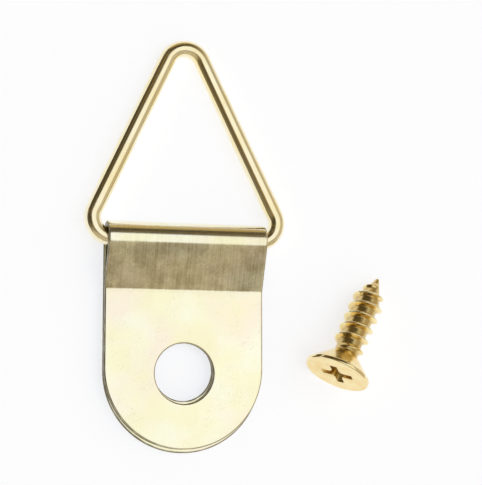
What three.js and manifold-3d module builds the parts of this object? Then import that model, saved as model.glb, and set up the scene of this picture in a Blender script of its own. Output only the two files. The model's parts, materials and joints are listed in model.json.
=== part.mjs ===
// Picture hanger: a sheet metal strap folded double round the base of a three cornered wire
// ring, with the wood screw that fixes it. Millimetres, +Z up. The hanger lies on its back with
// the ring towards +Y, and the screw lies loose beside it. The origin is on the strap's back
// face, on the centreline, midway between the ring's hinge line and the rim of the screw hole.

import * as THREE from 'three';
import { mergeVertices } from 'three/addons/utils/BufferGeometryUtils.js';
import Module from 'manifold-3d';

const wasm = await Module();
wasm.setup();

// Strap, one strip of sheet folded double
const strapWidth = 14;
const sheet = 0.5;
const loopEdgeToHole = 13;
const holeToEnd = 6.5;
const plyGap = 0.1;
const slopeAngle = THREE.MathUtils.degToRad(24);
const slopeBendRadius = 0.7;
const backHoleShift = 0.25;
const backEndOverhang = 0.3;

// Ring, one bent wire whose ends butt inside the strap's loop
const wireDiameter = 1.5;
const loopClearance = 0.2;
const ringReach = 16.4;
const ringCornerRadius = 1.7;
const ringBendInset = 0.5;
const wireEndGap = 0.4;

// Wood screw, countersunk with a cross recess
const screwLength = 10;
const threadDiameter = 3;
const holeClearance = 2.2;
const headOverlap = 0.6;
const headLand = 0.3;
const countersinkAngle = THREE.MathUtils.degToRad(45);
const threadDepth = 0.45;
const threadPitch = 1.1;
const threadThickness = 0.5;
const neckLength = 0.1;
const pointLength = 2.4;
const pointRadius = 0.12;
const recessWidth = 2.9;
const recessFloorWidth = 1;
const recessSlot = 0.6;
const recessDepth = 1.5;
const recessTurn = THREE.MathUtils.degToRad(40);

// Where the loose screw lies beside the strap
const screwSideRoom = 6.2;
const screwHeading = THREE.MathUtils.degToRad(62);

// How finely the round shapes are divided, and how far a cut runs past what it cuts
const loopSegments = 9;
const endSegments = 14;
const wireSegments = 6;
const ringSteps = 104;
const latheSegments = 24;
const threadSteps = 24;
const overrun = 1;

// Sizes that follow from those above
const wireRadius = wireDiameter / 2;
const loopInnerRadius = wireRadius + loopClearance;
const loopMiddleRadius = loopInnerRadius + sheet / 2;
const loopOuterRadius = loopInnerRadius + sheet;
const hingeHeight = loopOuterRadius;
const backTop = sheet;
const frontBottom = sheet + plyGap;
const frontTop = frontBottom + sheet;
const frontMiddle = (frontBottom + frontTop) / 2;
const holeDiameter = threadDiameter + holeClearance;
const holeRadius = holeDiameter / 2;
const hingeToHole = loopEdgeToHole - loopOuterRadius;
const hingeY = (hingeToHole - holeRadius) / 2;
const frontHoleY = hingeY - hingeToHole;
const endRadius = strapWidth / 2;
const endCentreY = frontHoleY - holeToEnd + endRadius;
const ringApexReach = loopOuterRadius + ringReach - wireRadius;
const headRadius = (holeDiameter + headOverlap) / 2;
const threadRadius = threadDiameter / 2;
const coreRadius = threadRadius - threadDepth;
const headHeight = headLand + (headRadius - coreRadius) / Math.tan(countersinkAngle);

// Builds a solid that can be joined and cut from a closed geometry.
function solidFrom(geometry) {
  const bare = geometry.clone();
  bare.deleteAttribute('normal');
  bare.deleteAttribute('uv');
  const merged = mergeVertices(bare);
  return new wasm.Manifold(new wasm.Mesh({
    numProp: 3,
    vertProperties: new Float32Array(merged.attributes.position.array),
    triVerts: new Uint32Array(merged.index.array),
  }));
}

function geometryFrom(solid) {
  const mesh = solid.getMesh();
  const geometry = new THREE.BufferGeometry();
  geometry.setAttribute('position', new THREE.BufferAttribute(mesh.vertProperties, mesh.numProp));
  geometry.setIndex(new THREE.BufferAttribute(mesh.triVerts, 1));
  geometry.computeVertexNormals();
  return geometry;
}

// Adds an arc to an outline, its angles in radians from the outline's own x axis.
function addArc(outline, centre, radius, from, to) {
  outline.absarc(centre.x, centre.y, radius, from, to, to < from);
}

// Section of the folded strip: back ply, loop round the wire, slope, front ply.
// The outline's x runs along the strap and its y is height.
function foldOutline() {
  const farEnd = frontHoleY - holeToEnd - backEndOverhang - overrun;
  const down = -Math.PI / 2;
  const slopeStart = Math.PI / 2 + slopeAngle;
  const bendRise = (loopMiddleRadius + slopeBendRadius) * Math.cos(slopeAngle);
  const slopeDrop = hingeHeight + bendRise - frontMiddle - slopeBendRadius;
  const slopeRun = slopeDrop / Math.tan(slopeAngle);
  const bendReach = (loopMiddleRadius + slopeBendRadius) * Math.sin(slopeAngle);
  const loop = new THREE.Vector2(hingeY, hingeHeight);
  const bend = new THREE.Vector2(hingeY - bendReach - slopeRun, frontMiddle + slopeBendRadius);
  const outline = new THREE.Shape();
  outline.moveTo(farEnd, 0);
  outline.lineTo(loop.x, 0);
  addArc(outline, loop, loopOuterRadius, down, slopeStart);
  addArc(outline, bend, slopeBendRadius - sheet / 2, down + slopeAngle, down);
  outline.lineTo(farEnd, frontTop);
  outline.lineTo(farEnd, frontBottom);
  addArc(outline, bend, slopeBendRadius + sheet / 2, down, down + slopeAngle);
  addArc(outline, loop, loopInnerRadius, slopeStart, down);
  outline.lineTo(farEnd, backTop);
  outline.closePath();
  return outline;
}

// Plan of one ply: parallel sides, a round end and the punched screw hole.
function plyOutline(endY, holeY) {
  const loopSide = hingeY + loopOuterRadius + overrun;
  const outline = new THREE.Shape();
  outline.moveTo(-endRadius, loopSide);
  outline.lineTo(-endRadius, endY);
  addArc(outline, new THREE.Vector2(0, endY), endRadius, Math.PI, 2 * Math.PI);
  outline.lineTo(endRadius, loopSide);
  outline.closePath();
  const hole = new THREE.Path();
  addArc(hole, new THREE.Vector2(0, holeY), holeRadius, 2 * Math.PI, 0);
  outline.holes.push(hole);
  return outline;
}

function plyBlank(endY, holeY, bottom, top) {
  const blank = new THREE.ExtrudeGeometry(plyOutline(endY, holeY), {
    depth: top - bottom,
    bevelEnabled: false,
    curveSegments: endSegments,
  });
  blank.translate(0, 0, bottom);
  return solidFrom(blank);
}

// The strap is the folded section run across the width, trimmed by the plan of each ply. The
// two trimming blanks overlap only inside the gap between the plies.
function makeStrapGeometry() {
  const folded = new THREE.ExtrudeGeometry(foldOutline(), {
    depth: strapWidth + 2 * overrun,
    bevelEnabled: false,
    curveSegments: loopSegments,
  });
  folded.translate(0, 0, -endRadius - overrun);
  const along = new THREE.Vector3(0, 1, 0);
  const up = new THREE.Vector3(0, 0, 1);
  const across = new THREE.Vector3(1, 0, 0);
  folded.applyMatrix4(new THREE.Matrix4().makeBasis(along, up, across));
  const backTrimTop = frontBottom - plyGap / 4;
  const frontTrimBottom = backTop + plyGap / 4;
  const backPly = plyBlank(endCentreY - backEndOverhang, frontHoleY + backHoleShift,
    -overrun, backTrimTop);
  const frontPly = plyBlank(endCentreY, frontHoleY, frontTrimBottom, 2 * hingeHeight + overrun);
  return geometryFrom(solidFrom(folded).intersect(backPly.add(frontPly)));
}

// The wire's centreline in the ring's own plane: base bar on the x axis, apex towards +y.
// The three corner bends are alike, so each leg runs parallel to a line between bend centres.
function ringCentreline() {
  const bendX = endRadius - ringBendInset;
  const apexBendY = ringApexReach - ringCornerRadius;
  const legTurn = Math.atan2(bendX, apexBendY - ringCornerRadius);
  const down = -Math.PI / 2;
  const right = new THREE.Vector2(bendX, ringCornerRadius);
  const apex = new THREE.Vector2(0, apexBendY);
  const left = new THREE.Vector2(-bendX, ringCornerRadius);
  const path = new THREE.Path();
  path.moveTo(wireEndGap / 2, 0);
  path.lineTo(right.x, 0);
  addArc(path, right, ringCornerRadius, down, legTurn);
  addArc(path, apex, ringCornerRadius, legTurn, Math.PI - legTurn);
  addArc(path, left, ringCornerRadius, Math.PI - legTurn, Math.PI - down);
  path.lineTo(-wireEndGap / 2, 0);
  return path;
}

// A flat path as a curve in space, so that a section can be swept along it.
class FlatCurve extends THREE.Curve {
  constructor(path) {
    super();
    this.path = path;
  }

  getPoint(share, target = new THREE.Vector3()) {
    const point = this.path.getPointAt(share);
    return target.set(point.x, point.y, 0);
  }
}

function makeRingGeometry() {
  const section = new THREE.Shape();
  section.absarc(0, 0, wireRadius, 0, 2 * Math.PI);
  return new THREE.ExtrudeGeometry(section, {
    steps: ringSteps,
    curveSegments: wireSegments,
    extrudePath: new FlatCurve(ringCentreline()),
  });
}

// Head, countersink, core and point in one turned solid, the head's top at 0 and the tip down.
function screwBody() {
  const profile = [
    [0, -screwLength],
    [pointRadius, -screwLength + pointRadius],
    [coreRadius, -screwLength + pointLength],
    [coreRadius, -headHeight],
    [headRadius, -headLand],
    [headRadius, 0],
    [0, 0],
  ];
  const points = profile.map(([radius, height]) => new THREE.Vector2(radius, height));
  return solidFrom(new THREE.LatheGeometry(points, latheSegments));
}

// The thread is a three sided ridge wound round the core. Its crest draws in along the point,
// and sinks into the core at both of its ends.
function screwThread() {
  const top = -headHeight - neckLength;
  const bottom = -screwLength + pointRadius + threadThickness;
  const pointTop = -screwLength + pointLength;
  const steps = Math.round(((top - bottom) / threadPitch) * threadSteps);
  const sunk = threadDepth / 2;
  const positions = [];
  const faces = [];
  for (let step = 0; step <= steps; step += 1) {
    const angle = (step / threadSteps) * 2 * Math.PI;
    const height = top + (bottom - top) * (step / steps);
    const inPoint = Math.max(0, (pointTop - height) / pointLength);
    const coreHere = THREE.MathUtils.lerp(coreRadius, pointRadius, inPoint);
    const rise = Math.min(1, step / threadSteps, (steps - step) / threadSteps);
    const crest = coreHere + threadDepth * (2 * rise - 1) * (1 - inPoint / 2);
    const root = Math.max(coreHere - sunk, pointRadius / 2);
    const ridge = [
      [Math.min(root, crest), height + threadThickness / 2],
      [crest, height],
      [Math.min(root, crest), height - threadThickness / 2],
    ];
    for (const [radius, y] of ridge) {
      positions.push(radius * Math.cos(angle), y, radius * Math.sin(angle));
    }
  }
  for (let step = 0; step < steps; step += 1) {
    for (let side = 0; side < 3; side += 1) {
      const here = step * 3 + side;
      const beside = step * 3 + ((side + 1) % 3);
      faces.push(here, here + 3, beside, beside, here + 3, beside + 3);
    }
  }
  const last = steps * 3;
  faces.push(0, 1, 2, last, last + 2, last + 1);
  const ridge = new THREE.BufferGeometry();
  ridge.setAttribute('position', new THREE.Float32BufferAttribute(positions, 3));
  ridge.setIndex(faces);
  return solidFrom(ridge);
}

// One bar of the cross recess, narrowing towards its floor and turned about the screw's axis.
function recessBar(turn) {
  const half = recessWidth / 2;
  const floorHalf = recessFloorWidth / 2;
  const flare = (half - floorHalf) * (overrun / recessDepth);
  const side = new THREE.Shape();
  side.moveTo(-half - flare, overrun);
  side.lineTo(-floorHalf, -recessDepth);
  side.lineTo(floorHalf, -recessDepth);
  side.lineTo(half + flare, overrun);
  side.closePath();
  const bar = new THREE.ExtrudeGeometry(side, { depth: recessSlot, bevelEnabled: false });
  bar.translate(0, 0, -recessSlot / 2);
  return bar.rotateY(turn);
}

function makeScrewGeometry() {
  const bar = solidFrom(recessBar(recessTurn));
  const crossBar = solidFrom(recessBar(recessTurn + Math.PI / 2));
  const recess = bar.add(crossBar);
  return geometryFrom(screwBody().add(screwThread()).subtract(recess));
}

function makeStrap() {
  const material = new THREE.MeshStandardMaterial({
    color: 0xe2d8a6,
    roughness: 0.16,
    metalness: 1,
  });
  const strap = new THREE.Mesh(makeStrapGeometry(), material);
  strap.name = 'strap';
  return strap;
}

// The ring hangs in the loop with its apex resting on the surface that the strap lies on.
function makeRing() {
  const material = new THREE.MeshStandardMaterial({
    color: 0xe4d79c,
    roughness: 0.14,
    metalness: 1,
  });
  const ring = new THREE.Mesh(makeRingGeometry(), material);
  ring.name = 'ring';
  ring.position.set(0, hingeY, hingeHeight);
  ring.rotation.x = -Math.asin((hingeHeight - wireRadius) / ringApexReach);
  return ring;
}

// The loose screw lies on the rim of its head and the first full turn of its thread.
function makeLooseScrew() {
  const material = new THREE.MeshStandardMaterial({
    color: 0xc9994a,
    roughness: 0.22,
    metalness: 1,
  });
  const screw = new THREE.Mesh(makeScrewGeometry(), material);
  screw.name = 'screw';
  screw.rotation.z = Math.PI / 2;
  const bearingSpan = screwLength - pointLength - headLand;
  const lean = Math.atan2(headRadius - threadRadius, bearingSpan);
  const tilt = new THREE.Group();
  tilt.rotation.y = lean;
  tilt.add(screw);
  const placed = new THREE.Group();
  placed.rotation.z = screwHeading;
  placed.position.set(
    endRadius + screwSideRoom,
    frontHoleY,
    headLand * Math.sin(lean) + headRadius * Math.cos(lean),
  );
  placed.add(tilt);
  return placed;
}

const hanger = new THREE.Group();
hanger.add(makeStrap(), makeRing(), makeLooseScrew());

export default hanger;
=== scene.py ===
# Looks of a picture hanger: a folded strap, a wire ring and the loose screw that fixes it.
# Lengths are in metres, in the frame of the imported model.
import json
import math
from types import SimpleNamespace

import bmesh
import bpy
from mathutils import Matrix, Vector, noise


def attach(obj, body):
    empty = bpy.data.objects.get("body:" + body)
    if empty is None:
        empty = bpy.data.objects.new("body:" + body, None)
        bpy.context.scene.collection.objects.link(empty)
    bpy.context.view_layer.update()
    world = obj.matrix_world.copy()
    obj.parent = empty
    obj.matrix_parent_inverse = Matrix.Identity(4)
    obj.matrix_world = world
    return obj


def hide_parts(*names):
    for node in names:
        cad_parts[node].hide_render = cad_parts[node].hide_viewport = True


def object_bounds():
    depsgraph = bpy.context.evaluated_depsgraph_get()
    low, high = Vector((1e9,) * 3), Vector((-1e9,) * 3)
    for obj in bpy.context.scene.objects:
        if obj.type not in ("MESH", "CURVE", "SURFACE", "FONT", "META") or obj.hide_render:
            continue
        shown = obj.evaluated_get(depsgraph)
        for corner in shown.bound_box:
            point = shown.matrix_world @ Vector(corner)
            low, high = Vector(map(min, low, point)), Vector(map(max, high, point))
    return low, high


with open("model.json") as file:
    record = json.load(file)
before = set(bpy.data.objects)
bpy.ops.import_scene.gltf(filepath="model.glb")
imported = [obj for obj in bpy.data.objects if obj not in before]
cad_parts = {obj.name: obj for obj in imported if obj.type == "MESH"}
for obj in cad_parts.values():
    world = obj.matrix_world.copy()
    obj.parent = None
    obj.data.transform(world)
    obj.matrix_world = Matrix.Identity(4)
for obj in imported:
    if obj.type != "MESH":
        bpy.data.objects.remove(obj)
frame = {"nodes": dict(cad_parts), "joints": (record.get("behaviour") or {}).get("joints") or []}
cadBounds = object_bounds()
joints = {joint["name"]: joint for joint in frame["joints"]}
hinge = Vector(joints["ring_swing"]["pos_m"])
print("frame loaded:", sorted(frame["nodes"]))

millimetre = 0.001
wireRadius = 0.00075        # of the ring's wire, which the strap's loop is bent round
flatFaceWeight = 80         # how far large faces outweigh small ones in the shading


def clamp(value, low=0, high=1):
    return max(low, min(high, value))


def eased(share):
    return share * share * (3 - 2 * share)


# A step along a quarter of a circle: how far across it has gone and how far down, out of 1
def quarterRound(part, count):
    angle = math.pi / 2 * part / count
    return math.sin(angle), 1 - math.cos(angle)


def onCircle(radius, angle):
    return radius * math.cos(angle), radius * math.sin(angle)


# A share of the way from one point to another
def partWay(start, end, share):
    return tuple(here + (there - here) * share for here, there in zip(start, end))


# Where a bent strip or wire has got to after a distance. It starts at (across, up, heading) and
# follows steps of (length, turn), a turn being the angle it bends through to its left.
def walkPath(start, steps, distance):
    across, up, heading = start
    for index, (length, turn) in enumerate(steps):
        lastStep = index == len(steps) - 1
        part = distance if lastStep else min(distance, length)
        turned = turn * part / length
        if turn:
            radius = length / turn
            across += radius * (math.sin(heading + turned) - math.sin(heading))
            up += radius * (math.cos(heading) - math.cos(heading + turned))
        else:
            across += part * math.cos(heading)
            up += part * math.sin(heading)
        heading += turned
        distance -= part
        if distance <= 0:
            break
    return across, up, heading


def pathLength(steps):
    return sum(length for length, turn in steps)


# Distances along a path, close together in its bends, between two distances along it
def pathStops(steps, first, last, spacing, bendStep):
    stops = [first]
    begin = 0
    for length, turn in steps:
        end = begin + length
        low = max(begin, first)
        high = min(end, last)
        if high > low:
            count = max(1, round((high - low) / spacing))
            if turn:
                count = max(count, math.ceil(abs(turn) * (high - low) / length / bendStep))
            stops += [low + (high - low) * (part + 1) / count for part in range(count)]
        begin = end
    return stops


# 1 in the bends of a path and 0 along its straights, eased over a short way at either side
def bendShareAt(steps, distance, ease):
    begin = 0
    share = 0
    for length, turn in steps:
        end = begin + length
        if turn:
            outside = max(begin - distance, distance - end, 0)
            share = max(share, 1 - min(outside / ease, 1))
        begin = end
    return eased(share)


# A skin that is being built: points, faces, and what is kept at each point for the material
def newSkin(*layers):
    return {"points": [], "faces": [], "places": [], "values": {layer: [] for layer in layers}}


# Adds a point with its place on the unbent piece, and its values in the order of the layers
def addPoint(skin, point, place, *values):
    skin["points"].append(tuple(point))
    skin["places"] += [number / millimetre for number in place]
    for numbers, value in zip(skin["values"].values(), values):
        numbers.append(value)
    return len(skin["points"]) - 1


# Fills the strips between neighbouring rows of points
def bridgeRows(skin, rows, closed):
    for here, beside in zip(rows, rows[1:]):
        count = len(here)
        for index in range(count if closed else count - 1):
            after = (index + 1) % count
            skin["faces"].append((here[index], here[after], beside[after], beside[index]))


# Closes a round end with a fan of faces about one point
def closeEnd(skin, row, middle):
    for index in range(len(row)):
        skin["faces"].append((middle, row[index], row[(index + 1) % len(row)]))


def addObject(name, data):
    made = bpy.data.objects.new(name, data)
    bpy.context.scene.collection.objects.link(made)
    return made


def makePiece(name, skin):
    mesh = bpy.data.meshes.new(name)
    mesh.from_pydata(skin["points"], [], skin["faces"])
    for layer, numbers in skin["values"].items():
        stored = mesh.attributes.new(layer, "FLOAT", "POINT")
        stored.data.foreach_set("value", numbers)
    stored = mesh.attributes.new("place", "FLOAT_VECTOR", "POINT")
    stored.data.foreach_set("vector", skin["places"])
    built = bmesh.new()
    built.from_mesh(mesh)
    bmesh.ops.recalc_face_normals(built, faces=built.faces)
    if built.calc_volume(signed=True) < 0:
        bmesh.ops.reverse_faces(built, faces=built.faces)
    openEdges = [edge for edge in built.edges if not edge.is_manifold]
    built.to_mesh(mesh)
    built.free()
    mesh.shade_smooth()
    piece = addObject(name, mesh)
    steady = piece.modifiers.new("steadyFaces", "WEIGHTED_NORMAL")
    steady.keep_sharp = True
    steady.weight = flatFaceWeight
    print(name, "has", len(mesh.polygons), "faces and", len(openEdges), "open edges")
    return piece


# The strap: one strip of sheet, pressed flat with a hole near either end, then folded double
strapSizes = SimpleNamespace(
    width=0.014,
    sheet=0.0005,
    loopEdgeToHole=0.013,
    holeToEnd=0.0065,
    holeRadius=0.0026,
    plyGap=0.0001,
    loopClearance=0.0002,
    slopeAngle=math.radians(24),
    slopeBendRadius=0.0007,
    backHoleShift=0.00025,
    backEndOverhang=0.0003,
    rollover=0.0001,         # how far the outer face is drawn down at a cut edge
    rolloverReach=0.00019,   # how far in from the cut edge that begins
    rolloverRows=5,
    cutRowShares=(0.1, -0.45),       # rows on the cut face, in halves of the sheet
    burrRollover=0.00003,    # how far the inner face is drawn down
    burrRows=3,
    waveHeight=0.00005,      # how far the pressed sheet is out of flat
    waveLength=0.0075,
    waveSeed=(3.1, 0, 0.7),
    crownShare=0.8,          # height of the crown across the strap, in wave heights
    waveEase=0.001,          # way past the loop over which the wave grows
    bendEase=0.0004,         # way beside a bend over which its marks fade
    squareReach=0.005,       # the faces round a hole reach this far past its middle
    ringShares=(0, 0.02, 0.06, 0.13, 0.22, 0.32, 0.42, 0.52, 0.62, 0.72, 0.81, 0.89, 0.95,
                0.985, 1),   # rings of faces from the outline, 0, to the hole, 1
    spacing=0.0003,
    sideSpacing=0.00042,
    roundSpacing=0.00036,
    columns=44,
    columnCrowding=math.radians(45),     # more puts the columns closer at the sides
    bendStep=math.radians(4.5),
    loopWorkedShare=0.15,    # how much of the slope's dulling and painted shade the bends get
    workedReach=0.0001,      # how far up the loop the slope's dulling and painted shade go
)


# The folded strip as steps, from the back ply's end round the loop to the front ply's end
def strapSteps(size):
    loopMiddle = wireRadius + size.loopClearance + size.sheet / 2
    loopOuter = loopMiddle + size.sheet / 2
    bend = size.slopeBendRadius
    slope = size.slopeAngle
    frontMiddle = 1.5 * size.sheet + size.plyGap
    frontHoleY = hinge.y + loopOuter - size.loopEdgeToHole
    frontEndY = frontHoleY - size.holeToEnd
    backEndY = frontEndY - size.backEndOverhang
    slopeDrop = hinge.z + (loopMiddle + bend) * math.cos(slope) - frontMiddle - bend
    slopeRun = slopeDrop / math.tan(slope)
    bendCentreY = hinge.y - (loopMiddle + bend) * math.sin(slope) - slopeRun
    loopTurn = math.pi + slope
    steps = [
        (hinge.y - backEndY, 0),
        (loopMiddle * loopTurn, loopTurn),
        (slopeDrop / math.sin(slope), 0),
        (bend * slope, -slope),
        (bendCentreY - frontEndY, 0),
    ]
    places = {"frontHoleY": frontHoleY, "frontEndY": frontEndY, "backEndY": backEndY}
    return steps, places


# Places of the columns of points across the strip, as far as its rolled edges
def strapColumns(size):
    half = size.width / 2 - size.rolloverReach
    crowding = size.columnCrowding
    columns = []
    for part in range(size.columns + 1):
        turn = crowding * (2 * part / size.columns - 1)
        columns.append(half * math.sin(turn) / math.sin(crowding))
    return columns


# Outline of one round end of the flat blank as (x, y, out x, out y). It begins with the straight
# row that joins the rest of the strip, and goes round the end and back.
def endOutline(size, columns, topY, endY):
    half = columns[-1]
    centreY = endY + size.width / 2
    side = topY - centreY
    sideCount = max(2, round(side / size.sideSpacing))
    roundCount = round(math.pi * half / size.roundSpacing)
    outline = [(-half, topY, -1, 0)]
    outline += [(x, topY, 0, 0) for x in columns[1:-1]]
    outline += [(half, topY - side * part / sideCount, 1, 0) for part in range(sideCount + 1)]
    for part in range(1, roundCount):
        outX, outY = onCircle(1, -math.pi * part / roundCount)
        outline.append((half * outX, centreY + half * outY, outX, outY))
    outline += [(-half, centreY + side * part / sideCount, -1, 0) for part in range(sideCount)]
    return outline


# Rings of points from that outline in to the hole, and the way out of the metal at the hole
def endRings(size, outline, holeY):
    reach = size.holeRadius + size.rolloverReach
    rings = [[] for share in size.ringShares]
    holeWays = []
    for x, y, outX, outY in outline:
        angle = math.atan2(y - holeY, x)
        rimX, rimY = onCircle(reach, angle)
        holeWays.append(onCircle(-1, angle))
        for ring, share in zip(rings, size.ringShares):
            ring.append(partWay((x, y), (rimX, holeY + rimY), share))
    return rings, holeWays


# Section of a cut edge, from the outer face to the inner: how far out it stands, how high it lies
# from the middle of the sheet and how much of it takes the cut edge's colour, bare metal darkened with
# painted shade
def edgeRows(size):
    reach = size.rolloverReach
    half = size.sheet / 2
    rows = []
    for part in range(1, size.rolloverRows + 1):
        across, down = quarterRound(part, size.rolloverRows)
        rows.append((reach * across, half - size.rollover * down, part / size.rolloverRows))
    rows += [(reach, half * share, 1) for share in size.cutRowShares]
    for part in range(size.burrRows):
        across, down = quarterRound(size.burrRows - part, size.burrRows)
        rows.append((reach * across, size.burrRollover * down - half, 1 - part / size.burrRows / 2))
    return rows


def sheetWave(size, x, distance):
    length = size.waveLength
    wave = noise.noise(Vector((x / length, distance / length, 0)) + Vector(size.waveSeed))
    crown = 1 - (2 * x / size.width) ** 2
    return size.waveHeight * (wave + size.crownShare * crown)


# How far along the strip a place on one of its plies is
def alongPly(ply, y):
    return ply["endDistance"] + ply["sign"] * (y - ply["endY"])


# The two plies. The strip runs up the back one from its end and down the front one to its end.
def strapPlies(size, places, columns, whole):
    backHoleY = places["frontHoleY"] + size.backHoleShift
    plies = {
        "back": {"endY": places["backEndY"], "holeY": backHoleY, "endDistance": 0, "sign": 1},
        "front": {"endY": places["frontEndY"], "holeY": places["frontHoleY"],
                  "endDistance": whole, "sign": -1},
    }
    for ply in plies.values():
        topY = ply["holeY"] + size.squareReach
        ply["topDistance"] = alongPly(ply, topY)
        ply["outline"] = endOutline(size, columns, topY, ply["endY"])
        ply["rings"], ply["holeWays"] = endRings(size, ply["outline"], ply["holeY"])
    return plies


def makeStrap(size):
    steps, places = strapSteps(size)
    start = (places["backEndY"], size.sheet / 2, 0)
    columns = strapColumns(size)
    plies = strapPlies(size, places, columns, pathLength(steps))
    stops = pathStops(steps, plies["back"]["topDistance"], plies["front"]["topDistance"],
                      size.spacing, size.bendStep)
    loopEnd = steps[0][0] + steps[1][0]
    slopeStart = loopEnd - size.workedReach
    slopeEnd = loopEnd + steps[2][0] + steps[3][0] / 2
    skin = newSkin("edge", "bend", "workedAndShaded")

    def addStripPoint(x, distance, height, edge):
        y, z, heading = walkPath(start, steps, distance)
        bend = bendShareAt(steps, distance, size.bendEase)
        flatness = clamp((distance - loopEnd) / size.waveEase) * (1 - bend)
        out = height + sheetWave(size, x, distance) * flatness
        workedAndShaded = 1 if slopeStart < distance < slopeEnd else size.loopWorkedShare * bend
        point = (x, y + out * math.sin(heading), z - out * math.cos(heading))
        return addPoint(skin, point, (x, distance, height), edge, bend, workedAndShaded)

    # One face of the sheet: the strip between the plies' ends, then the rings about either hole
    def addFace(height):
        strip = [[addStripPoint(x, distance, height, 0) for x in columns] for distance in stops]
        bridgeRows(skin, strip, False)
        face = {"strip": strip}
        for name, ply in plies.items():
            face[name] = []
            for ring in ply["rings"]:
                row = []
                if ring is ply["rings"][0]:
                    row += strip[0] if name == "back" else strip[-1]
                row += [addStripPoint(x, alongPly(ply, y), height, 0) for x, y in ring[len(row):]]
                face[name].append(row)
            bridgeRows(skin, face[name], True)
        return face

    outer = addFace(size.sheet / 2)
    inner = addFace(-size.sheet / 2)

    # Stations along a cut edge: its point on either face, its place and the way out of the metal
    def ringStations(name, level, ways):
        ply = plies[name]
        stations = []
        for index, (outX, outY) in enumerate(ways):
            x, y = ply["rings"][level][index]
            stations.append((outer[name][level][index], inner[name][level][index],
                             x, alongPly(ply, y), outX, ply["sign"] * outY))
        return stations

    def sideStations(column, outX):
        return [(outer["strip"][row][column], inner["strip"][row][column], columns[column],
                 stops[row], outX, 0) for row in range(len(stops))]

    def endStations(name):
        ways = [(outX, outY) for x, y, outX, outY in plies[name]["outline"]]
        return ringStations(name, 0, ways)[len(columns) - 1:]

    rightSide = sideStations(-1, 1)
    leftSide = sideStations(0, -1)
    outside = rightSide[:-1] + endStations("front") + leftSide[:0:-1]
    outside += leftSide[:1] + endStations("back")[:0:-1]
    cutEdges = [outside] + [ringStations(name, -1, plies[name]["holeWays"]) for name in plies]
    for stations in cutEdges:
        rows = [[station[0] for station in stations]]
        for out, height, edge in edgeRows(size):
            rows.append([addStripPoint(x + outX * out, distance + outAlong * out, height, edge)
                         for x, distance, outX, outAlong in (station[2:] for station in stations)])
        rows.append([station[1] for station in stations])
        bridgeRows(skin, rows, True)
    return makePiece("strapFolded", skin)


# The ring: one drawn wire bent to a triangle, its two ends meeting inside the strap's loop
ringSizes = SimpleNamespace(
    reach=0.0164,
    cornerRadius=0.0017,
    bendInset=0.0005,
    wireEndGap=0.0004,
    endRounding=0.00012,
    endRows=4,
    bendFlattening=0.035,    # share of the wire's radius lost in the plane of a bend
    bendEase=0.0006,         # way beside a bend over which that fades
    legBow=0.00004,          # how far the legs are out of straight
    bowLength=0.006,
    bowSeed=(0, 0.3, 1.7),
    bowStart=0.007,          # distance from the base bar's middle past which the bow grows
    bowEase=0.01,            # and over how long a way
    sectionPoints=36,
    spacing=0.0003,
    bendStep=math.radians(4),
)


def ringSteps(size, apexReach, bendX):
    corner = size.cornerRadius
    legRise = apexReach - 2 * corner
    legTurn = math.atan2(bendX, legRise)
    leg = math.hypot(bendX, legRise)
    base = bendX - size.wireEndGap / 2
    side = math.pi / 2 + legTurn
    top = math.pi - 2 * legTurn
    return [
        (base, 0),
        (corner * side, side),
        (leg, 0),
        (corner * top, top),
        (leg, 0),
        (corner * side, side),
        (base, 0),
    ]


def makeRing(size, strap):
    loopOuter = wireRadius + strap.loopClearance + strap.sheet
    apexReach = loopOuter + size.reach - wireRadius
    steps = ringSteps(size, apexReach, strap.width / 2 - size.bendInset)
    whole = pathLength(steps)
    start = (size.wireEndGap / 2, 0, 0)
    tilt = -math.asin((hinge.z - wireRadius) / apexReach)
    placed = Matrix.Translation(hinge) @ Matrix.Rotation(tilt, 4, "X")
    rounding = size.endRounding
    skin = newSkin("edge", "bend")

    def addRow(distance, shrink, edge):
        x, y, heading = walkPath(start, steps, distance)
        bend = bendShareAt(steps, distance, size.bendEase)
        beyond = clamp((math.hypot(x, y) - size.bowStart) / size.bowEase)
        wave = noise.noise(Vector((distance / size.bowLength, 0, 0)) + Vector(size.bowSeed))
        bow = size.legBow * wave * beyond
        row = []
        for index in range(size.sectionPoints):
            angle = 2 * math.pi * index / size.sectionPoints
            out = (wireRadius - shrink) * (1 - size.bendFlattening * bend) * math.cos(angle)
            lift = (wireRadius - shrink) * math.sin(angle)
            point = Vector((x + (out + bow) * math.sin(heading),
                            y - (out + bow) * math.cos(heading), lift))
            row.append(addPoint(skin, placed @ point, (out, lift, distance), edge, bend))
        return row

    def addEndMiddle(distance):
        x, y, heading = walkPath(start, steps, distance)
        return addPoint(skin, placed @ Vector((x, y, 0)), (0, 0, distance), 1, 0)

    endParts = []
    for part in range(size.endRows):
        across, down = quarterRound(part, size.endRows)
        endParts.append((rounding * down, rounding * (1 - across)))
    stops = pathStops(steps, rounding, whole - rounding, size.spacing, size.bendStep)
    rows = [addRow(distance, shrink, 1) for distance, shrink in endParts]
    rows += [addRow(distance, 0, 0) for distance in stops]
    rows += [addRow(whole - distance, shrink, 1) for distance, shrink in reversed(endParts)]
    bridgeRows(skin, rows, True)
    closeEnd(skin, rows[0], addEndMiddle(0))
    closeEnd(skin, rows[-1], addEndMiddle(whole))
    return makePiece("ringWire", skin)


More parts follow.
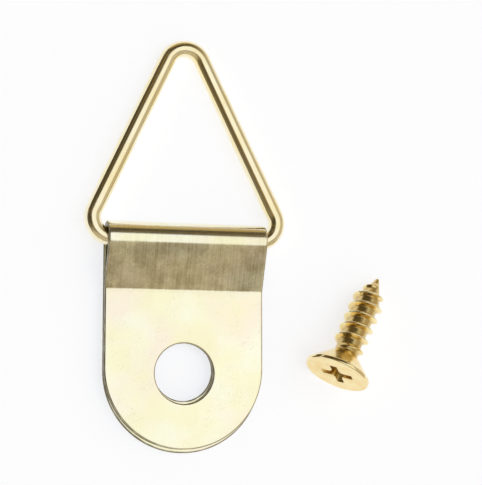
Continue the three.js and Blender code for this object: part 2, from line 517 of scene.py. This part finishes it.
# The screw: head with a cross recess, countersink, threaded shank and gimlet point, in one skin
screwSizes = SimpleNamespace(
    length=0.01,
    threadRadius=0.0015,
    headRadius=0.0029,
    headLand=0.0003,
    countersinkAngle=math.radians(45),
    threadDepth=0.00045,
    threadPitch=0.0011,
    threadThickness=0.0005,
    threadSteps=24,          # steps a turn in the CAD thread, which sets where it ends
    crestWidth=0.00007,
    flankCurveShare=0.35,    # how much of the thread's sides is curved into the core
    runOutTurns=0.625,       # part of a turn in which the thread rises and ends
    pointLossShare=0.58,     # share of its depth that the thread loses along the point
    neckLength=0.0001,
    neckRounding=0.00012,
    pointLength=0.0024,
    pointRadius=0.00012,
    pointRows=4,
    recessTop=(0.00145, 0.00033, 0.00036),       # an arm's reach, half its width and inner corner
    recessFloor=(0.0005, 0.00025, 0.00008),
    recessDepth=0.0015,
    recessDrill=0.00014,     # how much deeper the middle of its floor is
    recessRounding=0.00007,
    recessEdge=0.00006,
    recessTurn=math.radians(40),
    floorShares=(0.3, 0.6, 0.85, 0.97, 1),   # rows of the recess floor, from its middle
    wallRows=16,
    wallStart=0.3,           # where the first row of the wall is, in rows above the floor
    lipRows=3,
    topShares=(0.06, 0.16, 0.3, 0.45, 0.6, 0.74, 0.86, 0.95, 1),     # recess to head rim
    rimRounding=0.00012,
    rimRows=5,
    sideRoom=0.0062,
    heading=math.radians(62),
    quadrantParts=(3, 4, 4, 5),
    rowSpacing=0.000032,
    coneRowSpacing=0.000096,
    coneMargin=0.0001,       # the wider rows keep this far from the cone's top
    coneEndMargin=0.0002,    # and this far from the thread
    threadMargin=0.0004,     # marks of the thread begin this far before it
    landRubbedShare=0.6,
    lipRubbedShare=0.4,
    lipRubbedPower=6,        # more keeps the rubbing of the recess wall nearer its lip
    crestRubbedPower=3,
    lipShadeShare=0.2,
    wallShadeFading=0.5,     # how much less painted shade the recess wall has at its top
    shadeHeightShare=0.4545,        # how high up the thread the painted shade of its hollows goes
)


# Outline of the recess between its floor, share 0, and its top, share 1, and a little past it.
# Half of each quarter is half an arm's end, its corner, its side and half the inner corner.
def crossOutline(size, share, grown=0):
    reach, halfSlot, inner = partWay(size.recessFloor, size.recessTop, share)
    reach += grown
    halfSlot += grown
    corner = size.recessRounding + grown
    endCount, cornerCount, sideCount, innerCount = size.quadrantParts
    eighth = [(reach, (halfSlot - corner) * part / endCount) for part in range(endCount)]
    for part in range(cornerCount):
        across, down = quarterRound(part, cornerCount)
        eighth.append((reach - corner * down, halfSlot - corner + corner * across))
    run = reach - corner - halfSlot - inner
    eighth += [(reach - corner - run * part / sideCount, halfSlot) for part in range(sideCount)]
    for part in range(innerCount + 1):
        across, down = quarterRound(part, 2 * innerCount)
        eighth.append((halfSlot + inner - inner * across, halfSlot + inner * down))
    quarter = eighth + [(y, x) for x, y in reversed(eighth[1:-1])]
    outline = []
    for turn in range(4):
        angle = math.pi / 2 * turn - size.recessTurn
        outline += [(x * math.cos(angle) - y * math.sin(angle),
                     x * math.sin(angle) + y * math.cos(angle)) for x, y in quarter]
    return outline


# How far a round of some radius is short of it, at a depth below the round's top
def roundLoss(radius, depth):
    left = max(0, radius - depth)
    return radius - math.sqrt(max(0, radius ** 2 - left ** 2))


# Radius of the turned blank at a depth below the head's top
def blankRadius(size, depth):
    core = size.threadRadius - size.threadDepth
    pointRadius = size.pointRadius
    rim = size.headRadius - roundLoss(size.rimRounding, depth)
    cone = size.headRadius - (depth - size.headLand) * math.tan(size.countersinkAngle)
    above = size.length - depth
    point = min(core, pointRadius + (core - pointRadius) * above / size.pointLength)
    if above < pointRadius:
        point = pointRadius - roundLoss(pointRadius, above)
    rounding = size.neckRounding
    blend = clamp(0.5 + (point - cone) / (2 * rounding))
    shank = cone + (point - cone) * blend + rounding * blend * (1 - blend)
    return min(rim, shank)


# Depths at which the thread begins and ends, and how many turns it has
def threadEnds(size):
    core = size.threadRadius - size.threadDepth
    headHeight = size.headLand + (size.headRadius - core) / math.tan(size.countersinkAngle)
    first = headHeight + size.neckLength
    last = size.length - size.pointRadius - size.threadThickness
    steps = round((last - first) / size.threadPitch * size.threadSteps)
    return first, last, steps / size.threadSteps


# How far the thread stands out of the blank at an angle and a depth
def threadHeight(size, angle, depth):
    first, last, turns = threadEnds(size)
    pitch = (last - first) / turns
    turn = angle / (2 * math.pi) % 1
    nearest = round((depth - first) / pitch - turn)
    inPoint = clamp(1 - (size.length - depth) / size.pointLength)
    full = size.threadDepth * (1 - size.pointLossShare * inPoint)
    height = 0
    for ridge in (nearest - 1, nearest, nearest + 1):
        along = ridge + turn
        rise = eased(clamp(min(along, turns - along) / size.runOutTurns))
        away = abs(depth - first - along * pitch)
        flank = max(0, away - size.crestWidth / 2) / (size.threadThickness / 2)
        share = clamp(1 - flank)
        curved = share + (eased(share) - share) * size.flankCurveShare
        height = max(height, full * rise * curved)
    return height


# Depths of the rows of points down the outside of the screw
def screwDepths(size):
    threadStart = threadEnds(size)[0] - size.threadThickness / 2
    tipStart = size.length - size.pointRadius
    depths = []
    for part in range(1, size.rimRows + 1):
        across, down = quarterRound(part, size.rimRows)
        depths.append(size.rimRounding * down)
    while depths[-1] < tipStart:
        fromCone = depths[-1] - size.headLand - size.coneMargin
        fromThread = threadStart - size.coneEndMargin - depths[-1]
        inCone = fromCone > 0 and fromThread > 0
        spacing = size.coneRowSpacing if inCone else size.rowSpacing
        depths.append(min(depths[-1] + spacing, tipStart))
    for part in range(1, size.pointRows):
        across, down = quarterRound(part, size.pointRows)
        depths.append(size.length - size.pointRadius * (1 - across))
    return depths


# Where the loose screw lies: on the rim of its head and on its thread, beside the strap's hole
def screwPlacing(size, strap):
    span = size.length - size.pointLength - size.headLand
    lean = math.atan2(size.headRadius - size.threadRadius, span)
    headTop = Vector((
        strap.width / 2 + size.sideRoom,
        strapSteps(strap)[1]["frontHoleY"],
        size.headLand * math.sin(lean) + size.headRadius * math.cos(lean),
    ))
    turned = Matrix.Rotation(size.heading, 4, "Z") @ Matrix.Rotation(lean, 4, "Y")
    return Matrix.Translation(headTop) @ turned


def makeScrew(size, strap):
    placed = screwPlacing(size, strap)
    threadStart = threadEnds(size)[0] - size.threadMargin
    floorOutline = crossOutline(size, 0)
    count = len(floorOutline)
    angles = [2 * math.pi * index / count - size.recessTurn for index in range(count)]
    skin = newSkin("edge", "hollowShade")

    def addRow(places, depth, edge, hollowShade):
        return [addPoint(skin, placed @ Vector((depth, x, y)), (x, y, depth), edge, hollowShade)
                for x, y in places]

    rows = []
    for share in size.floorShares:
        depth = size.recessDepth + size.recessDrill * (1 - share)
        rows.append(addRow([(x * share, y * share) for x, y in floorOutline], depth, 0, 1))
    for part in range(size.wallRows):
        share = (part + size.wallStart) / (size.wallRows - 1 + size.wallStart)
        depth = size.recessDepth * (1 - share) + size.recessEdge * share
        edgeMark = size.lipRubbedShare * share ** size.lipRubbedPower
        rows.append(addRow(crossOutline(size, share), depth, edgeMark, 1 - size.wallShadeFading * share))
    for part in range(1, size.lipRows + 1):
        across, down = quarterRound(part, size.lipRows)
        lip = crossOutline(size, 1, size.recessEdge * down)
        rows.append(addRow(lip, size.recessEdge * (1 - across), 1 - part / (size.lipRows + 1),
                           size.lipShadeShare))
    inside = crossOutline(size, 1, size.recessEdge)
    topRim = [onCircle(size.headRadius - size.rimRounding, angle) for angle in angles]
    for share in size.topShares:
        places = [partWay(start, end, share) for start, end in zip(inside, topRim)]
        rows.append(addRow(places, 0, 0, 0))
    for depth in screwDepths(size):
        base = blankRadius(size, depth)
        row = []
        for angle in angles:
            height = threadHeight(size, angle, depth)
            place = onCircle(base + height, angle)
            share = height / size.threadDepth
            inLand = depth < size.headLand
            edge = size.landRubbedShare if inLand else share ** size.crestRubbedPower
            # Painted shade in the hollows between the thread's turns
            hollowShade = clamp(1 - share / size.shadeHeightShare) if depth > threadStart else 0
            row += addRow([place], depth, edge, hollowShade)
        rows.append(row)
    bridgeRows(skin, rows, True)
    closeEnd(skin, rows[0], addRow([(0, 0)], size.recessDepth + size.recessDrill, 0, 1)[0])
    closeEnd(skin, rows[-1], addRow([(0, 0)], size.length, 0, 0)[0])
    return makePiece("screwThreaded", skin)


# Feeds a node's inputs, given by name or by index, with numbers or with other nodes' outputs
def feedNode(tree, node, values):
    for socket, value in values.items():
        if isinstance(value, bpy.types.NodeSocket):
            tree.links.new(value, node.inputs[socket])
        else:
            node.inputs[socket].default_value = value


def addNode(tree, kind, values=None, **settings):
    node = tree.nodes.new(kind)
    for name, value in settings.items():
        setattr(node, name, value)
    feedNode(tree, node, values or {})
    return node


def calculate(tree, operation, *values):
    return addNode(tree, "ShaderNodeMath", dict(enumerate(values)), operation=operation).outputs[0]


# Adds a share of a value to a sum
def addShare(tree, value, share, total):
    return calculate(tree, "MULTIPLY_ADD", value, share, total)


# Adds shares of several values to a sum, from (value, share) pairs
def addShares(tree, total, *parts):
    for value, share in parts:
        total = addShare(tree, value, share, total)
    return total


def scaleVector(tree, vector, factor):
    scaled = addNode(tree, "ShaderNodeVectorMath", {0: vector, "Scale": factor}, operation="SCALE")
    return scaled.outputs[0]


def stretchVector(tree, vector, factors):
    stretched = addNode(tree, "ShaderNodeVectorMath", {0: vector, 1: factors}, operation="MULTIPLY")
    return stretched.outputs[0]


def mixColours(tree, factor, first, second):
    mix = addNode(tree, "ShaderNodeMix", {0: factor, 6: first, 7: second}, data_type="RGBA")
    return mix.outputs[2]


# Lays colours over one, from (share, colour) pairs
def layColours(tree, colour, *layers):
    for share, over in layers:
        colour = mixColours(tree, share, colour, over)
    return colour


# Eases a value from 0 to 1 between two levels
def between(tree, value, levels):
    low, high = levels
    spread = addNode(tree, "ShaderNodeMapRange", {"Value": value, "From Min": low, "From Max": high},
                     interpolation_type="SMOOTHSTEP")
    return spread.outputs[0]


def noiseAt(tree, place, scale, detail, roughness=0.5, distortion=0):
    texture = addNode(tree, "ShaderNodeTexNoise", {
        "Vector": place,
        "Scale": scale,
        "Detail": detail,
        "Roughness": roughness,
        "Distortion": distortion,
    })
    return texture.outputs[0]


# A node group that takes a place and some numbers, given with their defaults, and puts out numbers
def newGroup(name, numbers, outputs):
    tree = bpy.data.node_groups.new(name, "ShaderNodeTree")
    tree.interface.new_socket("Place", in_out="INPUT", socket_type="NodeSocketVector")
    for socket, value in numbers.items():
        made = tree.interface.new_socket(socket, in_out="INPUT", socket_type="NodeSocketFloat")
        made.default_value = value
    for socket in outputs:
        tree.interface.new_socket(socket, in_out="OUTPUT", socket_type="NodeSocketFloat")
    return tree, tree.nodes.new("NodeGroupInput").outputs, tree.nodes.new("NodeGroupOutput")


def useGroup(tree, group, values):
    return addNode(tree, "ShaderNodeGroup", values, node_tree=group).outputs


# Marks of barrel plating: crossing hairline scratches, small dents and a cloudy tone. Place is in
# millimetres and Height comes out in millimetres.
markLooks = SimpleNamespace(
    # Turn of each family of scratches, and its waves a millimetre along and across them
    scratchFamilies=((0.5, 0.25, 5.5), (2.0, 0.3, 6.5), (1.25, 0.2, 4.5)),
    scratchAxis=(0.25, 0.2, 1),
    scratchDetail=1,
    scratchBend=0.15,
    scratchWidth=0.012,
    scratchDepth=0.0006,
    patchScale=0.55,             # the scratches come and go in patches
    patchDetail=1,
    patchLevels=(0.5, 0.66),
    dentSpacing=1.1,
    dentDepth=0.003,
    dentLevels=(0.45, 0.9),      # which of the cells have a dent, and how deep
    dentSmallest=0.05,
    dentGrowth=0.16,
    cloudSize=4,
    cloudDetail=4,
    cloudRoughness=0.55,
    cloudLevels=(0.32, 0.68),
)


def makePlatingMarks(looks):
    tree, given, wanted = newGroup("platingMarks", {
        "Scratch Depth": looks.scratchDepth,
        "Dent Depth": looks.dentDepth,
        "Dent Spacing": looks.dentSpacing,
        "Cloud Size": looks.cloudSize,
    }, ["Height", "Scratches", "Cloud"])
    scratches = None
    for turn, along, across in looks.scratchFamilies:
        turned = addNode(tree, "ShaderNodeVectorRotate",
                         {"Vector": given["Place"], "Axis": looks.scratchAxis, "Angle": turn},
                         rotation_type="AXIS_ANGLE").outputs[0]
        drawn = stretchVector(tree, turned, (along, across, across))
        field = noiseAt(tree, drawn, 1, looks.scratchDetail, distortion=looks.scratchBend)
        offset = calculate(tree, "ABSOLUTE", calculate(tree, "SUBTRACT", field, 0.5))
        line = calculate(tree, "SUBTRACT", 1, between(tree, offset, (0, looks.scratchWidth)))
        patches = noiseAt(tree, turned, looks.patchScale, looks.patchDetail)
        line = calculate(tree, "MULTIPLY", line, between(tree, patches, looks.patchLevels))
        scratches = line if scratches is None else calculate(tree, "MAXIMUM", scratches, line)
    spread = scaleVector(tree, given["Place"], calculate(tree, "DIVIDE", 1, given["Dent Spacing"]))
    cells = addNode(tree, "ShaderNodeTexVoronoi", {"Vector": spread, "Scale": 1}).outputs
    chosen = addNode(tree, "ShaderNodeSeparateColor", {0: cells["Color"]}).outputs
    rim = addShare(tree, chosen[1], looks.dentGrowth, looks.dentSmallest)
    bowl = calculate(tree, "SUBTRACT", 1, between(tree, cells["Distance"], (0, rim)))
    dents = calculate(tree, "MULTIPLY", bowl, between(tree, chosen[0], looks.dentLevels))
    cloud = noiseAt(tree, given["Place"], calculate(tree, "DIVIDE", 1, given["Cloud Size"]),
                    looks.cloudDetail, looks.cloudRoughness)
    depth = calculate(tree, "MULTIPLY", dents, given["Dent Depth"])
    depth = addShare(tree, scratches, given["Scratch Depth"], depth)
    feedNode(tree, wanted, {
        "Height": calculate(tree, "MULTIPLY", depth, -1),
        "Scratches": scratches,
        "Cloud": between(tree, cloud, looks.cloudLevels),
    })
    return tree


# Fine lines that rolling or drawing leaves along the metal. They run along the place's Y axis when
# Run is 0 and along its Z axis when Run is 1.
lineLooks = SimpleNamespace(
    spacing=0.12,            # in millimetres
    depth=0.0003,
    stretch=0.02,            # waves along the lines for one across them
    detail=3,
    roughness=0.6,
)


def makeDrawnLines(looks):
    tree, given, wanted = newGroup("drawnLines", {
        "Run": 0,
        "Line Spacing": looks.spacing,
        "Line Depth": looks.depth,
    }, ["Height", "Lines"])
    alongSheet = stretchVector(tree, given["Place"], (1, looks.stretch, 1))
    alongWire = stretchVector(tree, given["Place"], (1, 1, looks.stretch))
    drawn = addNode(tree, "ShaderNodeMix", {0: given["Run"], 4: alongSheet, 5: alongWire},
                    data_type="VECTOR").outputs[1]
    scale = calculate(tree, "DIVIDE", 1, given["Line Spacing"])
    lines = noiseAt(tree, drawn, scale, looks.detail, looks.roughness)
    height = calculate(tree, "MULTIPLY", lines, given["Line Depth"])
    feedNode(tree, wanted, {"Height": height, "Lines": lines})
    return tree


# Breaks up an edge value so that it looks uneven: rubbed edges on the screw, and painted shade on the
# strap's cut edges
edgeMarkLooks = SimpleNamespace(
    patchSize=0.8,           # in millimetres
    detail=3,
    unevenness=0.9,
    least=0.35,
    levels=(0.15, 0.85),
)


def makeEdgeMarks(looks):
    tree, given, wanted = newGroup("edgeMarks", {
        "Edge": 0,
        "Patch Size": looks.patchSize,
    }, ["Edge Mark"])
    scale = calculate(tree, "DIVIDE", 1, given["Patch Size"])
    patches = noiseAt(tree, given["Place"], scale, looks.detail)
    uneven = addShare(tree, patches, looks.unevenness, looks.least)
    edgeMark = calculate(tree, "MULTIPLY", given["Edge"], uneven)
    feedNode(tree, wanted, {"Edge Mark": between(tree, edgeMark, looks.levels)})
    return tree


def newMaterial(name):
    material = bpy.data.materials.new(name)
    material.use_nodes = True
    return material, material.node_tree, material.node_tree.nodes["Principled BSDF"]


def storedValue(tree, name, output="Fac"):
    return addNode(tree, "ShaderNodeAttribute", attribute_name=name).outputs[output]


# Heights are in millimetres, so a bump distance of a millimetre gives them their real size
def bumpFrom(tree, height):
    bump = addNode(tree, "ShaderNodeBump", {"Strength": 1, "Distance": millimetre, "Height": height})
    return bump.outputs[0]


def plateWith(tree, shader, colour, rough, height):
    feedNode(tree, shader, {
        "Metallic": 1,
        "Base Color": colour,
        "Roughness": rough,
        "Normal": bumpFrom(tree, height),
    })


strapFinish = SimpleNamespace(
    plating=(0.990, 0.990, 0.850, 1),
    deepPlating=(0.980, 0.955, 0.660, 1),
    warmPlating=(0.990, 0.912, 0.790, 1),
    # The slope's colour: partly plating dulled by the press, partly painted shade of the slope, which
    # faces darker surroundings
    dulledAndShadedPlating=(0.50, 0.44, 0.280, 1),
    # The strap's cut edges are bare metal, made much darker as painted shade so that a dark line runs
    # round the strap and its holes
    cutEdgeColour=(0.20, 0.165, 0.09, 1),
    tintSize=6,
    tintDetail=1,
    tintLevels=(0.44, 0.58),
    deepShare=0.8,
    streakSpacing=0.16,      # lines that the press rubs down the slope
    streakLevels=(0.38, 0.66),
    mottleSpacing=2.4,       # larger cloudy patches on the slope, a painted reflection of uneven surroundings
    mottleDetail=5,
    mottleLevels=(0.38, 0.62),
    mottleRoughness=0.62,
    grainSpacing=0.22,       # and its fine grain
    grainDetail=3,
    grainLevels=(0.35, 0.65),
    grainDepth=0.002,        # in millimetres
    mixShares=(0.30, 0.54, 0.16),        # of the lines, the patches and the grain
    wispScale=0.3,           # larger scratches on the slope, about three times as wide
    wispShare=0.75,          # how much of the dulling and painted shade they scratch off
    fineScratchShare=0.6,    # and how much the hairline ones do
    dullingAndShadeShare=0.95,        # how much of the plating on the slope is dulled and darkened as painted shade
    leastDullingAndShadeShare=0.02,   # and elsewhere
    scratchedShare=0.3,
    roughness=0.11,
    cloudRoughness=0.05,
    scratchRoughness=0.12,
    bendRoughness=0.04,
    rubbedRoughness=0.22,
)


def strapPlate(groups, finish):
    material, tree, shader = newMaterial("strapPlate")
    place = storedValue(tree, "place", "Vector")
    workedAndShaded = storedValue(tree, "workedAndShaded")
    marks = useGroup(tree, groups["platingMarks"], {"Place": place})
    lines = useGroup(tree, groups["drawnLines"], {"Place": place})
    streaks = useGroup(tree, groups["drawnLines"],
                       {"Place": place, "Line Spacing": finish.streakSpacing})
    # Painted shade along the strap's cut edges, rolled rims and hole rims, over their bare metal
    edgeMark = useGroup(tree, groups["edgeMarks"], {"Place": place, "Edge": storedValue(tree, "edge")})[0]
    tint = noiseAt(tree, place, 1 / finish.tintSize, finish.tintDetail)
    grain = noiseAt(tree, place, 1 / finish.grainSpacing, finish.grainDetail)
    mottledReflection = noiseAt(tree, place, 1 / finish.mottleSpacing, finish.mottleDetail,
                      finish.mottleRoughness)
    lineShare, patchShare, grainShare = finish.mixShares
    uneven = addShares(tree, 0,
                       (between(tree, streaks["Lines"], finish.streakLevels), lineShare),
                       (between(tree, mottledReflection, finish.mottleLevels), patchShare),
                       (between(tree, grain, finish.grainLevels), grainShare))
    share = addShare(tree, workedAndShaded, finish.dullingAndShadeShare, finish.leastDullingAndShadeShare)
    larger = stretchVector(tree, place, [finish.wispScale] * 3)
    wisps = useGroup(tree, groups["platingMarks"], {"Place": larger})["Scratches"]
    bare = addShares(tree, 1, (marks["Scratches"], -finish.fineScratchShare),
                     (wisps, -finish.wispShare))
    bare = calculate(tree, "MAXIMUM", bare, 0)
    # The slope's dulling: press lines and grain, with painted shade and patches of painted reflection,
    # less where scratched
    dullingAndShade = calculate(tree, "MULTIPLY", calculate(tree, "MULTIPLY", uneven, share), bare)
    cloudy = calculate(tree, "MULTIPLY", marks["Cloud"], finish.deepShare)
    scratched = calculate(tree, "MULTIPLY", marks["Scratches"], finish.scratchedShare)
    colour = layColours(tree, finish.warmPlating,
                        (between(tree, tint, finish.tintLevels), finish.plating),
                        (cloudy, finish.deepPlating),
                        (dullingAndShade, finish.dulledAndShadedPlating),
                        (scratched, finish.dulledAndShadedPlating),
                        (edgeMark, finish.cutEdgeColour))
    rough = addShares(tree, finish.roughness,
                      (marks["Cloud"], finish.cloudRoughness),
                      (marks["Scratches"], finish.scratchRoughness),
                      (storedValue(tree, "bend"), finish.bendRoughness),
                      (edgeMark, finish.rubbedRoughness))
    height = calculate(tree, "ADD", marks["Height"], lines["Height"])
    height = addShare(tree, calculate(tree, "MULTIPLY", grain, workedAndShaded), finish.grainDepth, height)
    plateWith(tree, shader, colour, rough, height)
    return material


ringFinish = SimpleNamespace(
    plating=(0.975, 0.905, 0.685, 1),
    deepPlating=(0.950, 0.840, 0.530, 1),
    cutEdgeColour=(0.78, 0.72, 0.56, 1),
    dentSpacing=0.9,
    cloudSize=3,
    lineSpacing=0.16,
    lineDepth=0.0012,        # in millimetres
    roughness=0.09,
    cloudRoughness=0.05,
    bendRoughness=0.05,
    scratchRoughness=0.12,
)


def ringPlate(groups, finish):
    material, tree, shader = newMaterial("ringPlate")
    place = storedValue(tree, "place", "Vector")
    marks = useGroup(tree, groups["platingMarks"], {
        "Place": place,
        "Dent Spacing": finish.dentSpacing,
        "Cloud Size": finish.cloudSize,
    })
    lines = useGroup(tree, groups["drawnLines"], {
        "Place": place,
        "Run": 1,
        "Line Spacing": finish.lineSpacing,
        "Line Depth": finish.lineDepth,
    })
    colour = layColours(tree, finish.plating,
                        (marks["Cloud"], finish.deepPlating),
                        (storedValue(tree, "edge"), finish.cutEdgeColour))
    rough = addShares(tree, finish.roughness,
                      (marks["Cloud"], finish.cloudRoughness),
                      (storedValue(tree, "bend"), finish.bendRoughness),
                      (marks["Scratches"], finish.scratchRoughness))
    height = calculate(tree, "ADD", marks["Height"], lines["Height"])
    plateWith(tree, shader, colour, rough, height)
    return material


screwFinish = SimpleNamespace(
    plating=(0.95, 0.79, 0.43, 1),
    deepPlating=(0.89, 0.68, 0.29, 1),
    # Painted shade for the thread's hollows and down the cross recess
    hollowShade=(0.52, 0.36, 0.12, 1),
    hollowShadeShare=0.6,
    rubbedMetal=(0.98, 0.89, 0.62, 1),
    rubbedPatchSize=0.4,
    dentSpacing=0.5,
    dentDepth=0.005,         # in millimetres
    cloudSize=1.2,
    roughness=0.1,
    cloudRoughness=0.08,
    hollowRoughness=0.12,
)


def screwPlate(groups, finish):
    material, tree, shader = newMaterial("screwPlate")
    place = storedValue(tree, "place", "Vector")
    hollowShade = storedValue(tree, "hollowShade")
    marks = useGroup(tree, groups["platingMarks"], {
        "Place": place,
        "Dent Spacing": finish.dentSpacing,
        "Dent Depth": finish.dentDepth,
        "Cloud Size": finish.cloudSize,
    })
    edgeMark = useGroup(tree, groups["edgeMarks"], {
        "Place": place,
        "Edge": storedValue(tree, "edge"),
        "Patch Size": finish.rubbedPatchSize,
    })[0]
    # Painted shade, deepest on the recess floor and in the thread's hollows, fading up the recess wall
    paintedShade = calculate(tree, "MULTIPLY", hollowShade, finish.hollowShadeShare)
    colour = layColours(tree, finish.plating,
                        (marks["Cloud"], finish.deepPlating),
                        (paintedShade, finish.hollowShade),
                        (edgeMark, finish.rubbedMetal))
    rough = addShares(tree, finish.roughness, (marks["Cloud"], finish.cloudRoughness),
                      (hollowShade, finish.hollowRoughness))
    plateWith(tree, shader, colour, rough, marks["Height"])
    return material


floorSizes = SimpleNamespace(
    half=0.6,
    drop=0.00002,
    colour=(0.68, 0.69, 0.74, 1),
    lift=(0.640, 0.659, 0.695, 1),       # what is added to the floor where it is seen
    roughness=0.9,
    specular=0.1,
)


# 1 for what the camera, a reflection or a view through glass sees, and 0 for light that falls on
# other things
def seenDirectly(tree):
    path = addNode(tree, "ShaderNodeLightPath").outputs
    direct = calculate(tree, "MAXIMUM", path["Is Camera Ray"], path["Is Glossy Ray"])
    return calculate(tree, "MAXIMUM", direct, path["Is Transmission Ray"])


def makeFloor(size):
    half = size.half
    low = -size.drop
    mesh = bpy.data.meshes.new("floor")
    corners = [(-half, -half, low), (half, -half, low), (half, half, low), (-half, half, low)]
    mesh.from_pydata(corners, [], [(0, 1, 2, 3)])
    material, tree, shader = newMaterial("floorPaper")
    feedNode(tree, shader, {
        "Base Color": size.colour,
        "Roughness": size.roughness,
        "Specular IOR Level": size.specular,
        "Emission Color": size.lift,
        "Emission Strength": seenDirectly(tree),
    })
    mesh.materials.append(material)
    addObject("floor", mesh)


# The room that the plating mirrors: a soft lamp above, dark walls with warm patches, gold low down
# behind the ring's apex, and paler sides in front of the strap's round end and to its right
roomLooks = SimpleNamespace(
    lampAxis=(0.18, 0.06, 0.98),         # where the middle of the lamp lies
    lampEdge=(0.795, 0.880),             # cosines of the angles where it ends and is full
    lampColour=(1.010, 1.008, 0.980, 1),
    warmLamp=(1.005, 0.990, 0.915, 1),   # and towards its right
    warmLevels=(0.02, 0.30),
    lampBackLevels=(0.36, 0.50),         # it ends sooner towards the ring's apex
    lampClouds=(4.2, 0.20, 1),           # scale, depth and detail of its unevenness
    wallColour=(0.070, 0.058, 0.034, 1),
    glowScale=3.6,
    glowDetail=2,
    sides={                              # colours, and the levels between which they come in
        "glow": ((0.34, 0.22, 0.085, 1), (0.50, 0.72)),
        "back": ((0.50, 0.365, 0.155, 1), (0.85, 0.93)),
        "right": ((0.60, 0.52, 0.38, 1), (0.25, 0.9)),
        "front": ((0.530, 0.465, 0.342, 1), (0.1, 0.7)),
    },
    wallClouds=(8, 1.7, 2),
    seenColour=(0.97, 0.97, 0.97, 1),    # what the camera itself sees past the floor
)


# Makes a colour of the room uneven
def clouded(tree, direction, colour, clouds):
    scale, depth, detail = clouds
    strength = addShare(tree, noiseAt(tree, direction, scale, detail), depth, 1 - depth / 2)
    return scaleVector(tree, colour, strength)


def makeWorld(looks):
    world = bpy.data.worlds.new("softRoom")
    bpy.context.scene.world = world
    world.use_nodes = True
    tree = world.node_tree
    direction = addNode(tree, "ShaderNodeTexCoord").outputs["Generated"]
    parts = addNode(tree, "ShaderNodeSeparateXYZ", {0: direction}).outputs
    values = {
        "glow": noiseAt(tree, direction, looks.glowScale, looks.glowDetail),
        "back": parts["Y"],
        "right": parts["X"],
        "front": calculate(tree, "MULTIPLY", parts["Y"], -1),
    }
    walls = looks.wallColour
    for side, (colour, levels) in looks.sides.items():
        walls = mixColours(tree, between(tree, values[side], levels), walls, colour)
    warm = between(tree, parts["X"], looks.warmLevels)
    lamp = mixColours(tree, warm, looks.lampColour, looks.warmLamp)
    axis = Vector(looks.lampAxis).normalized()
    facing = addNode(tree, "ShaderNodeVectorMath", {0: direction, 1: axis}, operation="DOT_PRODUCT")
    before = calculate(tree, "SUBTRACT", 1, between(tree, parts["Y"], looks.lampBackLevels))
    inLamp = calculate(tree, "MULTIPLY", before, between(tree, facing.outputs["Value"], looks.lampEdge))
    colour = mixColours(tree, inLamp, clouded(tree, direction, walls, looks.wallClouds),
                        clouded(tree, direction, lamp, looks.lampClouds))
    seen = addNode(tree, "ShaderNodeLightPath").outputs["Is Camera Ray"]
    colour = mixColours(tree, seen, colour, looks.seenColour)
    feedNode(tree, tree.nodes["Background"], {"Color": colour})


cameraSizes = SimpleNamespace(
    way=(-0.265, -0.125, 0.956),         # from the hanger towards the camera
    lens=120,
    sensor=36,
    margin=1.12,
    clipNear=0.005,
    clipFar=5,
)


# The camera looks along the middle of the box, its image upright along the strap
def makeCamera(size, bounds):
    toCamera = Vector(size.way).normalized()
    right = Vector((0, 1, 0)).cross(toCamera).normalized()
    up = toCamera.cross(right)
    low, high = bounds
    corners = [Vector((x, y, z)) for x in (low.x, high.x) for y in (low.y, high.y)
               for z in (low.z, high.z)]
    across = [corner.dot(right) for corner in corners]
    along = [corner.dot(up) for corner in corners]
    depth = (low + high).dot(toCamera) / 2
    reach = max(max(across) - min(across), max(along) - min(along)) * size.margin
    distance = reach * size.lens / size.sensor
    middle = right * (max(across) + min(across)) / 2 + up * (max(along) + min(along)) / 2
    data = bpy.data.cameras.new("camera")
    data.lens = size.lens
    data.sensor_width = size.sensor
    data.clip_start = size.clipNear
    data.clip_end = size.clipFar
    camera = addObject("camera", data)
    turned = Matrix((right, up, toCamera)).transposed().to_4x4()
    camera.matrix_world = Matrix.Translation(middle + toCamera * (depth + distance)) @ turned
    bpy.context.scene.camera = camera


# Puts a finished piece in the place of the plain one
def handIn(piece, material, node):
    piece.data.materials.append(material)
    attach(piece, node)
    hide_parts(node)
    print(node, "is in place")


makeCamera(cameraSizes, cadBounds)
makeWorld(roomLooks)
makeFloor(floorSizes)
bpy.context.scene.view_settings.view_transform = "Standard"
print("studio ready")

groups = {
    "platingMarks": makePlatingMarks(markLooks),
    "drawnLines": makeDrawnLines(lineLooks),
    "edgeMarks": makeEdgeMarks(edgeMarkLooks),
}
handIn(makeStrap(strapSizes), strapPlate(groups, strapFinish), "strap")
handIn(makeRing(ringSizes, strapSizes), ringPlate(groups, ringFinish), "ring")
handIn(makeScrew(screwSizes, strapSizes), screwPlate(groups, screwFinish), "screw")
